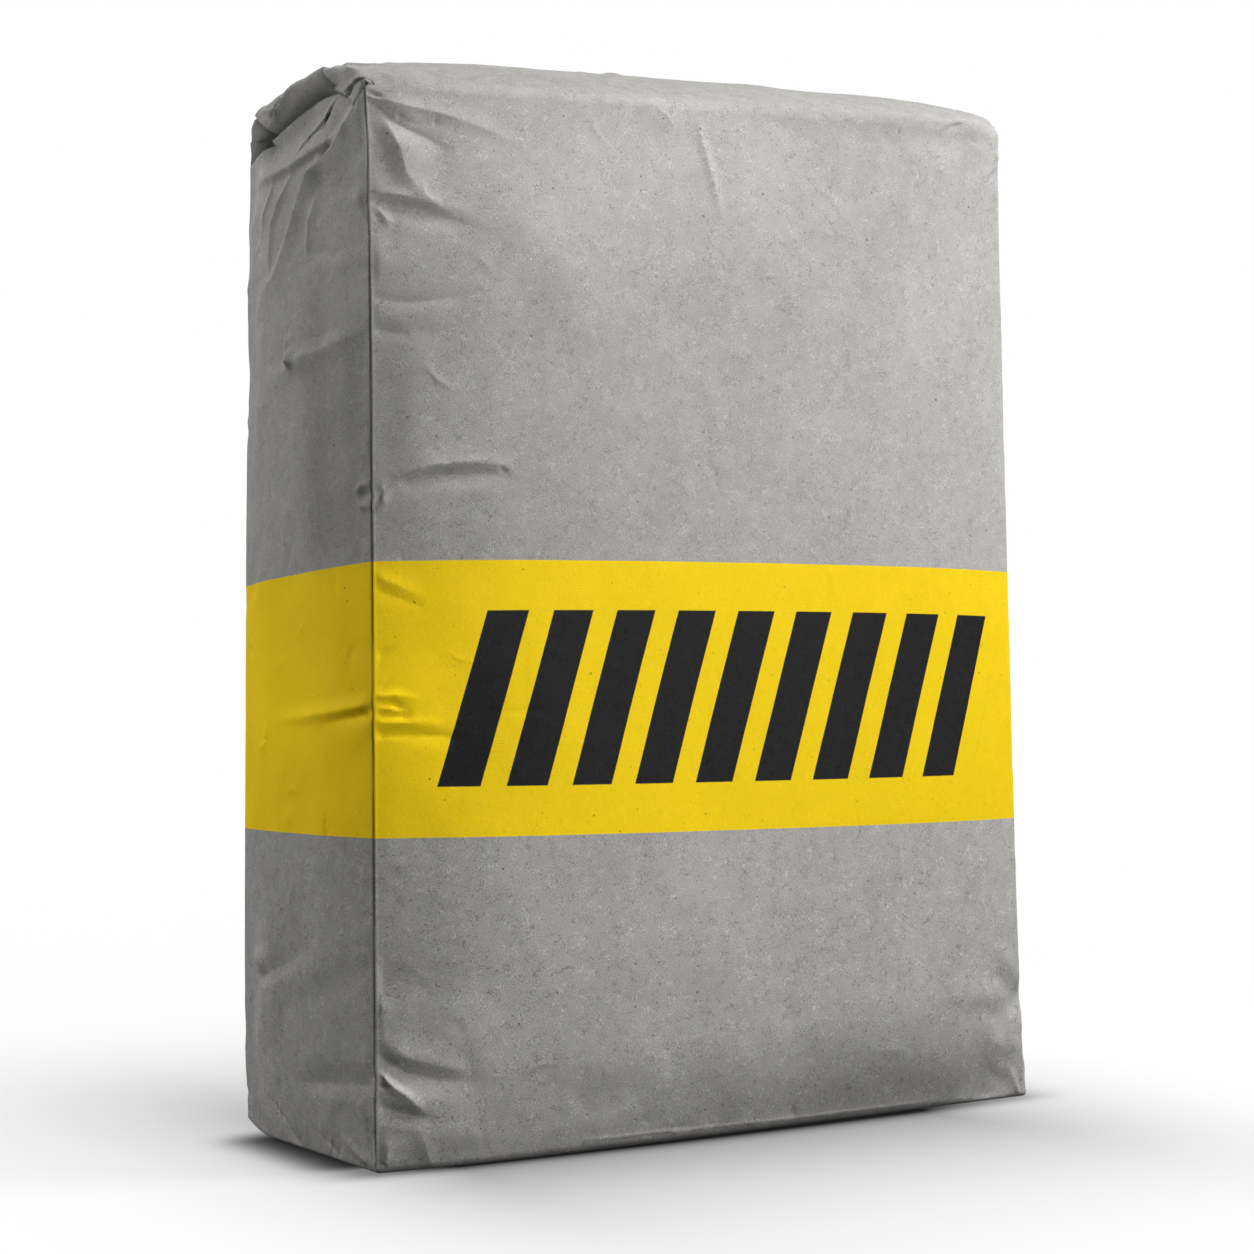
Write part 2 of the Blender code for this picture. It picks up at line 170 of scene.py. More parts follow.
# Left side panel, seen from outside: -y and z
SIDE_FOLDS = (
    ("tent", 7, 13, (-56.5, 458, 0), (-48, 463, 0.7), (-32.5, 468.5, 1.4), (-12.5, 486, 2.5), (-2.1, 497, 3.4),
        (7.7, 510.5, 3.9), (24, 521, 4.4)),
    ("tent", 9, 22, (24, 521, 3.5), (43.5, 529.5, 3.8), (56.5, 541.5, 3.5), (69.5, 551, 3), (78.5, 557, 2.2)),
    ("tent", 6, 1.6, (22, 520, 0), (30, 525, -4.1), (37, 529.5, -3.7), (44, 533.5, 0)),
    ("soft", 10, 8, (59.5, 493.5, 0), (57.5, 506.5, -0.51), (52, 520, -0.51), (60, 532, -0.17)),
    ("tent", 9, 5, (79, 520.5, -1.9), (75.5, 530, -1.9), (72.5, 540, -1.5), (70.5, 545.5, -0.27)),
    ("tent", 10, 13, (26, 503.5, 0), (52, 503, 1.2), (71, 501, 2.7), (78.5, 495.5, 2.5)),
    ("tent", 2.5, 3, (71, 500.5, 0), (74.5, 497, -1.4), (78, 492, -0.34)),
    ("soft", 8, 8, (42, 519, 0), (57.5, 513, 1.2), (74.5, 510, 0.7)),
    ("tent", 15, 5, (-62, 521, 0.34), (-50, 524, 1.7), (-9.4, 526.5, 3.2), (25, 532, 3.4), (41.5, 536, 1.7),
        (50, 539, 0)),
    ("tent", 1, 9, (-75.5, 533.5, 0.27), (-58, 537.5, 1.6), (-34, 543.5, 2.4), (-9.1, 549, 2.6), (18, 556, 2),
        (41.5, 560, 0.54)),
    ("hollow", 20, 1.2, (-77, 535.5, 0), (-61, 538.5, -3), (-35.5, 544.5, -8.5), (-10.5, 550, -11),
        (17, 557, -9), (35.5, 560.5, -4.5)),
    ("tent", 0.9, 3, (-0.2, 531, 0), (3.6, 533.5, -0.47), (7.4, 536, -0.47), (11.2, 537, -0.27),
        (15.5, 540, -0.54), (22.5, 541.5, -0.27), (29.5, 543.5, -0.7), (34.5, 548, -0.7), (38, 552, -0.41),
        (39, 555.5, -0.34), (41.5, 559.5, -0.27)),
    ("tent", 4, 1, (1, 532.5, 0.41), (8.6, 537.5, 0.9), (22.5, 542.5, 1.2), (32, 547, 1.2), (37, 553, 0.7)),
    ("crease", 6, 7, (-39.5, 468.5, 0), (-38.5, 478.5, 1.2), (-35, 499.5, 2.2), (-24, 510, 2.5),
        (-9.2, 522.5, 1)),
    ("crease", 7, 9, (11.4, 473.5, 0), (13.5, 482, 1.5), (16, 494.5, 2), (22.5, 504.5, 0.8)),
    ("crease", 5, 5, (-55, 486.5, 0), (-49.5, 505, 1.4), (-35, 522.5, 0.7)),
    ("soft", 6, 6, (-66, 443.5, 0), (-65, 471, 1), (-64, 498.5, 1.2), (-57.5, 517, 0.34)),
    ("crease", 11, 9, (12.5, 476.5, -0.8), (27, 477, -1.9), (47, 476, -1.2), (69.5, 476, 0)),
    ("soft", 8, 8, (22.5, 472.5, 0.7), (47, 470.5, 1), (73.5, 468, 0.34)),
    ("tent", 9, 13, (-29, 414.5, 0.34), (-10.5, 417.5, 1.7), (-3, 422, 3.2), (27, 424.5, 2.4),
        (64, 431.5, 1.5), (78, 434.5, 0.34)),
    ("tent", 6, 7, (-3, 422, 3.2), (-9.6, 427, 2.2), (-10.5, 432.5, 1.4), (-2, 435.5, 0)),
    ("tent", 5, 5, (-3.8, 419.5, 0), (-1.4, 423.5, -1), (7.3, 427.5, -0.34)),
    ("soft", 7, 8, (-51.5, 366, 0), (-49, 387.5, 0.8), (-53.5, 404, 0.7), (-67, 419, 0)),
    ("soft", 6, 6, (-76.5, 389, -0.8), (-72.5, 405.5, -1), (-77, 419.5, -1.2), (-69.5, 433, -0.34)),
    ("soft", 6, 6, (-85.5, 437, 0.34), (-83.5, 450.5, 1.2), (-78, 466.5, 0.51)),
    ("tent", 4, 5, (65, 350.5, 0.51), (71, 353, 2), (80.5, 354.5, 1.7)),
    ("tent", 3, 4, (67.5, 345.5, 0.34), (71, 342.5, 1.9), (80.5, 342, 1.4)),
    ("tent", 4, 4, (71, 347.5, -1), (81.5, 348, -1.7)),
    ("soft", 8, 8, (78.5, 381.5, 0.34), (79, 371, 1.4), (80.5, 365, 0.34)),
    ("soft", 12, 9, (5.4, 345, 0), (39, 348.5, 1), (66, 351, 0.7)),
    ("tent", 8, 6, (-27, 230, 0.17), (6.7, 232, 1.2), (39.5, 235.5, 2), (66, 239, 2.5), (82, 242, 2)),
    ("crease", 6, 7, (39.5, 231, -0.34), (64, 234, -1.4), (82, 237, -1.9)),
    ("crease", 6, 6, (-56.5, 211.5, 0), (-42, 216, 0.7), (-38.5, 222.5, 0.7), (-42, 229.5, 0)),
    ("tent", 3, 3, (-43.5, 216, 0), (-41, 219, -0.8), (-41, 221.5, 0)),
    ("soft", 8, 8, (62.5, 225, 0.8), (82, 229.5, 1.2)),
    ("tent", 10, 9, (-52.5, 89, -1.5), (-46, 89.5, -2.7), (-17, 98.5, -1.7), (15, 108.5, -0.34)),
    ("soft", 7, 7, (-52.5, 89.5, 0.8), (-50, 98, 1.5), (-48, 106.5, 0)),
    ("soft", 13, 10, (-37.5, 72, 0.7), (-4.3, 89, 1.5), (42.5, 104, 1.4), (77.5, 117.5, 0.51)),
    ("soft", 10, 12, (-18.5, 79.5, -0.8), (23.5, 89, -1.5), (57, 101.5, -0.7)),
    ("soft", 7, 7, (-55.5, 39.5, 0), (-51, 59.5, 1.2), (-46.5, 76.5, 0.7)),
    ("tent", 14, 9, (-2.6, 37, -0.7), (19.5, 39.5, -2.2), (50, 42.5, -2.7), (83, 45, -2.5)),
    ("tent", 7, 6, (71.5, 61, 1), (74.5, 56, 1.9), (80, 51, 0.7)),
    ("tent", 3, 3, (77.5, 49, -1.4), (82, 48.5, -2)),
    ("crease", 7, 5, (-9.4, 1.6, -1), (-15.5, 5.3, -1.5), (-30.5, 15.5, -2), (-41.5, 21, -1.4), (-47, 29.5, 0)),
    ("crease", 5, 6, (38, 4.8, -0.51), (29.5, 8.8, -1.2), (17.5, 13, -0.51)),
    ("tent", 7, 4, (78.5, 3.8, 1.7), (70, 6.8, 2.7), (57.5, 10.7, 2), (45.5, 15, 0.34)),
    ("tent", 4, 4, (78, 22, 1.4), (73, 28, 2.4), (67, 34, 1.7), (66, 36, 0)),
    ("tent", 3, 5, (79, 7, -1.4), (75, 16.5, -1.5), (71, 23.5, -0.34)),
    ("tent", 6, 1, (21, 575, 1.1), (30, 568, 1.9), (39.5, 561.5, 1.9), (50, 557.5, 1.2), (64, 550, 0.27)),
    ("hollow", 1.2, 13, (20.5, 574, -2.5), (28.5, 567, -6), (37.5, 561, -5.5), (44, 558.5, -2)),
    ("tent", 5, 1, (50, 557.5, 0.27), (59.5, 561, 1.6), (67, 562.5, 2.2), (77, 563.5, 2.2)),
    ("hollow", 6, 1.2, (66, 549.5, -0.5), (69.5, 553, -4), (73.5, 556.5, -7), (78, 559.5, -7.5),
        (79, 561.5, -3)),
    ("tent", 2.5, 2.5, (53.5, 554, -0.41), (56, 556.5, -2.2), (58.5, 559.5, -1.1)),
    ("tent", 1, 6, (-44, 556.5, 0.8), (-36, 561.5, 1.6), (-27.5, 564.5, 2), (-20.5, 568, 1.8),
        (-10.7, 571, 0.41)),
    ("tent", 3, 1, (-46.5, 557.5, -0.54), (-38, 562, -2.2), (-29.5, 565, -2.4), (-22.5, 569, -2.2),
        (-13, 571.5, -0.41)),
    ("tent", 2.5, 4, (-65.5, 563, 0.27), (-51.5, 562.5, 1.2), (-37.5, 561.5, 0.8)),
    ("tent", 6, 1, (-68.5, 562.5, 1.1), (-59, 557.5, 1.9), (-48, 551.5, 2), (-35, 544.5, 1.1)),
    ("hollow", 1.2, 11, (-70, 561.5, -3.5), (-61, 556.5, -7), (-50.5, 551, -8), (-38.5, 544, -6)),
    ("tent", 1, 9, (-81, 548, 0.41), (-67, 546.5, 1.4), (-52, 544.5, 0.7)),
)

# Painted shade on the left side panel: 1 in its deepest folds and hollows, negative where light is painted
SIDE_SHADES = (
    ("soft", 12, 0.8, (-74, 534.5, 0.6), (-58, 538.5, 0.9), (-35.5, 544, 1), (-10.5, 549.5, 1), (17, 555.5, 1),
        (29.5, 558.5, 0.7), (38, 560, 0.4)),
    ("crease", 1, 9, (21, 574, 0.7), (35.5, 564.5, 0.8), (50, 557.5, 0.5), (62.5, 550.5, 0.1)),
    ("crease", 7, 3.5, (65, 550, 0.9), (72, 555.5, 1), (76, 559, 0.9), (76.5, 561, 0.3)),
    ("crease", 1.4, 1.4, (29.5, 542.5, 1), (34.5, 548.5, 1)),
    ("crease", 1.3, 1.3, (12.5, 537, 0.9), (15, 540, 0.9)),
    ("crease", 1.1, 1.1, (34.5, 548.5, 0.6), (40.5, 558.5, 0.5)),
    ("crease", 1.1, 1.1, (2.3, 534, 0.4), (12.5, 537, 0.5)),
    ("crease", 1.1, 1.1, (15, 540, 0.4), (22.5, 541.5, 0.4), (29.5, 542.5, 0.5)),
    ("crease", 1.2, 18, (-67.5, 561, 0.9), (-53.5, 554, 1), (-37, 544.5, 1)),
    ("crease", 5, 0.8, (-78, 547.5, 0.3), (-58, 546, 0.6), (-38.5, 544, 0.8)),
    ("crease", 4, 2, (30, 524.5, 0.6), (37, 528.5, 0.7), (43, 531.5, 0.2)),
    ("crease", 3, 0.8, (-45.5, 557.5, 0.7), (-40.5, 559.5, 0.7), (-33.5, 562, 0.3)),
    ("soft", 16, 16, (23.5, 447, 0.2), (25, 389, 0.3), (31, 326, 0.28)),
    ("soft", 10, 10, (-56.5, 530.5, -0.32), (-57, 486.5, -0.25), (-58.5, 437.5, -0.15)),
    ("soft", 12, 12, (-48.5, 147.5, -0.1), (-50, 103.5, -0.2), (-52, 26.5, -0.24)),
    ("soft", 24, 24, (-49, 240, -0.12), (29.5, 231.5, -0.12)),
    ("soft", 11, 11, (62, 434, 0.18), (64, 382, 0.22), (62.5, 323, 0.24)),
)

# Painted shade and light on the front panel: darker near the foot, the top edge and the left edge, negative
# where light is painted
FRONT_SHADES = (
    ("soft", 20, 20, (-22, 16.5, 0.06), (50, 16.5, 0.34), (118, 16.5, 0.36), (179.5, 13.5, 0.26)),
    ("soft", 44, 44, (-184, 518, -0.24), (-91, 519, -0.26), (9.2, 522.5, -0.2)),
    ("soft", 16, 16, (-195, 47, -0.4), (-178, 53.5, -0.3), (-138.5, 58, -0.2)),
    ("soft", 50, 50, (-115, 122, -0.16), (47.5, 111, -0.12)),
    ("soft", 20, 20, (-191, 248, -0.24), (-175.5, 211, -0.16)),
    ("soft", 8, 8, (25.5, 558, 0.1), (105.5, 558.5, 0.2), (186, 559, 0.2)),
    ("soft", 11, 11, (-190, 448.5, 0.1), (-191.5, 386.5, 0.2), (-193, 322.5, 0.2)),
)

# Top panel: x and y
TOP_FOLDS = (
    ("soft", 14, 11, (-197, -72, -0.7), (-185, -50, -0.8), (-172, -22, -0.39), (-160, 6, 0)),
    ("crease", 6, 8, (-196, -30, 2.1), (-182, -44, 1.8), (-172, -60, 0.26)),
    ("crease", 12, 12, (-201, -20, 2), (-186, 0, 2.3), (-165, 30, 1), (-150, 50, 0)),
    ("crease", 9, 9, (-202, 66, 1.6), (-180, 50, 1.8), (-150, 38, 1), (-120, 36, 0)),
    ("tent", 3, 2, (-166, -76.5, -0.39), (-152, -77.5, -1), (-140, -78, -0.9), (-128, -78, -0.39)),
    ("crease", 7, 9, (-60, -76, 0.26), (-30, -40, 1.2), (-20, 0, 0.9), (-40, 40, 0)),
    ("crease", 8, 8, (203, -72, 1.8), (180, -55, 1.3), (140, -40, 0.52), (110, -30, 0)),
    ("crease", 8, 8, (203, 70, 1.8), (175, 50, 1.6), (140, 36, 0.8), (110, 30, 0)),
    ("crease", 6, 7, (203, -20, 1), (180, -4, 1.3), (150, 10, 0)),
    ("soft", 14, 14, (40, -70, 0), (70, -20, 1.2), (60, 30, 1), (90, 70, 0)),
)

# Painted shade on the top panel, towards its right end
TOP_SHADES = (
    ("soft", 30, 30, (87.5, 39.5, 0.1), (156.5, 36.5, 0.24), (215.5, -24, 0.28)),
)

# Kinds of fold whose line is sharp
SHARP_KINDS = ("crease", "tent", "hollow")


# Shape of the filled sack

def grid_lines(stops):
    """Places from 0 to 1 along a side, as close together as the spacing read between the stops."""
    places, spacings = np.array(stops).T
    along = np.linspace(0.0, places[-1], 4001)
    density = 1.0 / np.interp(along, places, spacings)
    count = np.concatenate(([0.0], np.cumsum(0.5 * (density[1:] + density[:-1]) * np.diff(along))))
    lines = np.linspace(0.0, count[-1], int(round(count[-1])) + 1)
    return np.interp(lines, count, along) / places[-1]


def box_skin(nu, nv, nw):
    """Lattice indices of the outside of a box, and the quads that join them, facing outward."""
    def code(i, j, k):
        return (i * nv + j) * nw + k

    def panel(grid, outward):
        corners = (grid[:-1, :-1], grid[1:, :-1], grid[1:, 1:], grid[:-1, 1:])
        quads = np.stack([corner.ravel() for corner in corners], axis=1)
        return quads if outward else quads[:, ::-1]

    i, j, k = np.arange(nu), np.arange(nv), np.arange(nw)
    panels = [
        panel(code(i[:, None], 0, k[None, :]), True),
        panel(code(i[:, None], nv - 1, k[None, :]), False),
        panel(code(0, j[:, None], k[None, :]), False),
        panel(code(nu - 1, j[:, None], k[None, :]), True),
        panel(code(i[:, None], j[None, :], nw - 1), True),
        panel(code(i[:, None], j[None, :], 0), False),
    ]
    codes, quads = np.unique(np.concatenate(panels), return_inverse=True)
    lattice = (codes // (nv * nw), codes // nw % nv, codes % nw)
    return lattice, quads.reshape(-1, 4)


def round_edge(a, b, radius):
    """Moves points within a radius of both panels onto a quarter circle; a and b are distances inside."""
    da = np.clip(radius - a, 0.0, None)
    db = np.clip(radius - b, 0.0, None)
    near = (da > 0.0) & (db > 0.0)
    shrink = np.where(near, np.maximum(da, db) / np.maximum(np.hypot(da, db), 1e-12), 1.0)
    return np.where(near, radius - da * shrink, a), np.where(near, radius - db * shrink, b)


def soften_edges(u, v, w, shape):
    """Rounds the twelve edges of the box, each pair of sides in turn, by that edge's radius."""
    width = shape.foot_right - shape.foot_left
    depth, height = shape.foot_depth, shape.corner_height
    inside = {"left": u * width, "right": (1 - u) * width, "front": v * depth,
              "back": (1 - v) * depth, "top": (1 - w) * height, "base": w * height}
    wide_foot = shape.foot_edge * (2 - np.abs(2 * u - 1) ** PILLOW_POWER)
    radii = (("left", "front", shape.pressed_edge), ("right", "front", shape.soft_edge),
             ("left", "back", shape.soft_edge), ("right", "back", shape.soft_edge),
             ("front", "top", shape.head_edge), ("back", "top", shape.head_edge),
             ("left", "top", 0.5 * shape.head_edge), ("right", "top", shape.head_edge),
             ("front", "base", wide_foot), ("back", "base", wide_foot),
             ("left", "base", shape.foot_edge), ("right", "base", shape.foot_edge))
    opposite = {"left": "right", "right": "left", "front": "back", "back": "front",
                "top": "base", "base": "top"}
    whole = {"left": width, "right": width, "front": depth, "back": depth, "top": height, "base": height}
    for first, second, radius in radii:
        a, b = round_edge(inside[first], inside[second], radius)
        inside[first], inside[second] = a, b
        inside[opposite[first]] = whole[first] - a
        inside[opposite[second]] = whole[second] - b
    return inside["left"] / width, inside["front"] / depth, inside["base"] / height, inside


def fullness(w):
    """How filled out a height is: rises steeply over the foot, and falls slowly towards the top."""
    foot = 1 - np.clip(1 - w / FOOT_ROUNDING, 0, 1) ** 4
    head = 1 - np.clip(1 - (1 - w) / HEAD_ROUNDING, 0, 1) ** 3
    return foot * head


def filled_shape(u, v, w, shape):
    """The sack without its folds.

    Each panel is a flat one whose middle is pushed out by a pillow curve over its width times
    the fullness over its height, and the top is an arch over the depth that drops at both ends.
    """
    side, face = 2 * u - 1, 2 * v - 1
    full = fullness(w)
    left = shape.foot_left + (shape.head_left - shape.foot_left) * w
    right = shape.foot_right + (shape.head_right - shape.foot_right) * w
    x = left + (right - left) * u + side * shape.side_swell * (1 - np.abs(face) ** 2.5) * full
    x += side * np.abs(side) ** PANEL_END_POWER * shape.head_flare * w ** CORNER_POWER
    x += face * shape.head_twist * (1 - u) ** PANEL_END_POWER * w ** 3
    x += shape.foot_ear * u ** CORNER_POWER * (1 - w) ** CORNER_POWER
    x -= shape.back_fullness * (1 - u) ** PANEL_END_POWER * v ** 4 * full
    y = 0.5 * face * (shape.foot_depth + (shape.head_depth - shape.foot_depth) * w)
    tuck = shape.foot_tuck * u ** 2 * np.clip(1 - w / TUCK_REACH, 0, 1) ** 2
    stand_out = shape.foot_belly + (shape.belly - shape.foot_belly) * full - tuck
    y += face * stand_out * (1 - np.abs(side) ** PILLOW_POWER)
    near_left = np.clip(1 - 2 * u, 0, None) ** 5
    near_right = np.clip(2 * u - 1, 0, None) ** 10
    skewed = np.clip(v, 0, 1) ** (1 - END_SKEW * near_left)
    along = 1 - END_DROP * near_left - END_DROP * near_right
    z = shape.corner_height * w + shape.crown * (1 - (2 * skewed - 1) ** 2) * along * w ** CROWN_POWER
    z -= (LEAN_ALONG * x + LEAN_DEEP * y) * np.sin(np.pi * w)
    reach = np.ones_like(u)
    for share, whole in zip((u, 1 - v, w), LIFTED_REACH):
        reach = reach * np.clip(1 - share / whole, 0, 1)
    z += shape.lifted_corner * reach ** 2
    return np.stack([x, y, z], axis=1)


# Folds

def nearest_on_line(a, b, points):
    """Distance to a line of points, which side of it (1 left, -1 right), its height there and the foot."""
    best = np.full(a.shape, np.inf)
    side = np.ones_like(a)
    height = np.zeros_like(a)
    foot_a, foot_b = a.copy(), b.copy()
    for (pa, pb, ph), (qa, qb, qh) in zip(points[:-1], points[1:]):
        da, db = qa - pa, qb - pb
        along = np.clip(((a - pa) * da + (b - pb) * db) / (da * da + db * db), 0, 1)
        fa, fb = pa + da * along, pb + db * along
        distance = np.hypot(a - fa, b - fb)
        nearer = distance < best
        best = np.where(nearer, distance, best)
        side = np.where(nearer, np.where(da * (b - pb) - db * (a - pa) >= 0, 1.0, -1.0), side)
        height = np.where(nearer, ph + (qh - ph) * along, height)
        foot_a, foot_b = np.where(nearer, fa, foot_a), np.where(nearer, fb, foot_b)
    return best, side, height, foot_a, foot_b


def near_fold(a, b, points, reach):
    """Indices of the panel points within a reach of a fold's bounding box."""
    pa, pb = [p[0] for p in points], [p[1] for p in points]
    return np.flatnonzero((a > min(pa) - reach) & (a < max(pa) + reach)
                          & (b > min(pb) - reach) & (b < max(pb) + reach))


def fold_heights(a, b, folds):
    """Height over the panel of all folds together, in millimetres.

    A fold is its line's height times a profile of s, the distance over the width on that side:
    tent (1 - s) squared times (1 + s), crease and hollow (1 - s) squared, soft a bell curve.
    """
    total = np.zeros_like(a)
    for kind, left, right, *points in folds:
        reach = max(left, right) * (2.0 if kind == "soft" else 1.0)
        near = near_fold(a, b, points, reach)
        if near.size == 0:
            continue
        distance, side, height, _, _ = nearest_on_line(a[near], b[near], points)
        s = distance / np.where(side > 0, left, right)
        rest = np.clip(1 - s, 0, None)
        profile = {"tent": rest ** 2 * (1 + s), "crease": rest ** 2, "hollow": rest ** 2,
                   "soft": np.exp(-s * s)}[kind]
        total[near] += height * profile
    return total


def settle_on_folds(a, b, cell_a, cell_b, folds):
    """Moves the grid points nearest to each sharp fold line onto it, so that the fold stays crisp."""
    a, b = a.copy(), b.copy()
    free = np.ones(a.shape, bool)
    for kind, left, right, *points in folds:
        if kind not in SHARP_KINDS:
            continue
        near = near_fold(a, b, points, 2.0)
        near = near[free[near]]
        if near.size == 0:
            continue
        distance, _, _, foot_a, foot_b = nearest_on_line(a[near], b[near], points)
        shift_a, shift_b = foot_a - a[near], foot_b - b[near]
        length = np.maximum(distance, 1e-9)
        limit_a = np.abs(shift_a) / length * cell_a[near]
        limit_b = np.abs(shift_b) / length * cell_b[near]
        limit = 0.49 * np.maximum(limit_a, limit_b)
        close = near[distance < limit]
        a[close], b[close] = foot_a[distance < limit], foot_b[distance < limit]
        free[close] = False
    return a, b


def scattered_folds(random, count, low, high, lengths, heights, widths):
    """Random creases over a panel rectangle: more of them start near its edges than in its middle."""
    folds = []
    span = np.subtract(high, low)
    for _ in range(count):
        place = random.beta(0.6, 0.6, 2) * span + low
        turn = random.uniform(0, math.pi)
        length = random.uniform(*lengths)
        bend = random.uniform(-0.25, 0.25) * length
        step = np.array([math.cos(turn), math.sin(turn)]) * length * 0.5
        across = np.array([-math.sin(turn), math.cos(turn)]) * bend
        height = random.uniform(*heights) * random.choice((-1, 1))
        wide, narrow = random.uniform(*widths), random.uniform(*widths)
        kind = random.choice(("crease", "soft", "tent"))
        start, middle, end = place - step, place + across, place + step
        folds.append((str(kind), wide, narrow, (*start, 0.0), (*middle, height), (*end, 0.0)))
    return folds


def lumps(points, size, random):
    """Smooth bumps from -1 to 1: random values on a cubic lattice of that size, blended between."""
    cells = points / size
    cells = cells - cells.min(axis=0) + 1.0
    base = np.floor(cells).astype(int)
    share = cells - base
    share = share * share * (3 - 2 * share)
    values = random.uniform(-1, 1, tuple(base.max(axis=0) + 2))
    total = np.zeros(len(points))
    for i in (0, 1):
        for j in (0, 1):
            for k in (0, 1):
                weight = np.ones(len(points))
                for axis, step in enumerate((i, j, k)):
                    weight = weight * (share[:, axis] if step else 1 - share[:, axis])
                total += weight * values[base[:, 0] + i, base[:, 1] + j, base[:, 2] + k]
    return total


def fade(distance, reach):
    """1 at no distance, falling smoothly to 0 at the reach."""
    share = np.clip(1 - distance / reach, 0, 1)
    return share * share * (3 - 2 * share)


def spacing_at(lines, indices, length):
    """The grid spacing in millimetres at each lattice index."""
    return np.gradient(lines)[indices] * length / MM


def folded_skin(shape):
    """Vertices and quads of the whole sack, its folds and lumps included, and the painted shade of each vertex.
    """
    lines = [grid_lines(stops) for stops in (WIDTH_SPACING, DEPTH_SPACING, HEIGHT_SPACING)]
    lattice, quads = box_skin(*(len(places) for places in lines))
    cube = [places[index] for places, index in zip(lines, lattice)]
    u, v, w, inside = soften_edges(*cube, shape)
    skin = filled_shape(u, v, w, shape)
    lengths = (shape.foot_right - shape.foot_left, shape.foot_depth, shape.corner_height)
    cells = [spacing_at(places, index, length) for places, index, length in zip(lines, lattice, lengths)]
    random = np.random.default_rng(SEED)
    rest = skin.copy()
    shade = np.zeros(len(skin))

    # Random creases and folds fade out beside the pressed edge, and are stronger near the panels' ends
    calm = np.where(inside["left"] < inside["front"], 0.009, 0.005)
    loosened = 1 - 0.9 * fade(inside["front"] + inside["left"], calm)
    crumple = 0.5 + 1.1 * fade(inside["left"], 0.12) + 1.0 * fade(inside["base"], 0.10)
    crumple += 0.6 * fade(inside["right"], 0.05) + 0.5 * fade(inside["top"], 0.05)
    lower_side = tuple(fold for fold in SIDE_FOLDS if max(point[1] for point in fold[3:]) < HIGH_ON_SIDE)
    # Name, axis across, axis up, sign of the first axis, outward, folds, shades, count of random creases
    panels = (
        ("front", 0, 2, 1.0, (0, -1, 0), FRONT_FOLDS, FRONT_SHADES, 34),
        ("left", 1, 2, -1.0, (-1, 0, 0), SIDE_FOLDS, SIDE_SHADES, 24),
        ("top", 0, 1, 1.0, (0, 0, 1), TOP_FOLDS, TOP_SHADES, 26),
        ("back", 0, 2, -1.0, (0, 1, 0), FRONT_FOLDS, (), 40),
        ("right", 1, 2, 1.0, (1, 0, 0), lower_side, (), 40),
    )
    for name, first, second, sign, outward, folds, shades, count in panels:
        weight = fade(inside[name], 0.005)
        own = np.flatnonzero(weight > 0)
        a, b = sign * rest[own, first] / MM, rest[own, second] / MM
        flat = inside[name][own] < 0.3 * MM
        low, high = (a.min(), b.min()), (a.max(), b.max())
        soft = scattered_folds(random, count, low, high, (25, 90), (0.15, 0.5), (7, 20))
        new_a, new_b = settle_on_folds(a, b, cells[first][own], cells[second][own], folds)
        shift = np.zeros((len(own), 3))
        shift[:, first] = np.where(flat, sign * (new_a - a) * MM, 0)
        shift[:, second] = np.where(flat, (new_b - b) * MM, 0)
        if folds:
            soft += scattered_folds(random, 4 * count, low, high, (8, 34), (0.15, 0.45), (2, 6))
        traced = fold_heights(new_a, new_b, folds)
        loose = fold_heights(new_a, new_b, soft) * crumple[own]
        height = (traced + loose) * MM * shape.fold_strength
        lift = np.outer(height * weight[own] * loosened[own], outward)
        keep = fade(0.004 - inside["base"][own], 0.004)[:, None]
        skin[own] += shift * keep + lift * keep
        # Painted shade and light from the panel's shade strokes
        shade[own] += fold_heights(new_a, new_b, shades) * weight[own]

    outward = np.zeros_like(skin)
    for name, _, _, _, direction, folds, _, _ in panels:
        outward += np.outer(fade(inside[name], 0.02) * (0.8 if folds else 1.0), direction)
    # No lumps at the base and at the upright edges, which keep their lines
    above = 1 - fade(inside["base"], 0.02)
    for first in ("left", "right"):
        for second in ("front", "back"):
            above = above * (1 - fade(np.hypot(inside[first], inside[second]), 0.025))
    swell = 0.8 * lumps(rest, 0.085, random)
    swell += crumple * (0.6 * lumps(rest, 0.034, random) + 0.25 * lumps(rest, 0.017, random))
    skin += outward * (swell * MM * shape.fold_strength * above)[:, None]

    press_upright_edge(skin, shade, rest, inside, random)
    return skin, quads, shade


def press_upright_edge(skin, shade, rest, inside, random):
    """The pressed front left edge: a lip along it, with a narrow groove beside it on the narrow side, dark by
    its depth and by painted shade.
    """
    uneven = 1 + 0.35 * lumps(rest * (0, 0, 1), 0.02, random)
    low = 1 - fade(inside["base"], 0.003)
    on_side = fade(inside["left"], GROOVE_PLACE)
    groove = np.exp(-((inside["front"] - GROOVE_PLACE) / GROOVE_WIDTH) ** 2) * on_side * low
    lip = np.exp(-((inside["front"] + inside["left"]) / LIP_WIDTH) ** 2) * uneven
    skin[:, 0] += (0.8 * groove * uneven - 0.25 * lip) * MM
    skin[:, 1] -= 0.25 * lip * MM
    # Painted shade in the groove
    shade += 1.1 * groove * uneven


def mesh_from_grid(name, points, quads):
    """A mesh of quads from arrays, shaded smooth."""
    mesh = bpy.data.meshes.new(name)
    mesh.vertices.add(len(points))
    mesh.vertices.foreach_set("co", points.astype(np.float32).ravel())
    mesh.loops.add(quads.size)
    mesh.loops.foreach_set("vertex_index", quads.ravel().astype(np.int32))
    mesh.polygons.add(len(quads))
    mesh.polygons.foreach_set("loop_start", np.arange(0, quads.size, 4, dtype=np.int32))
    mesh.update(calc_edges=True)
    mesh.validate()
    mesh.shade_smooth()
    return mesh


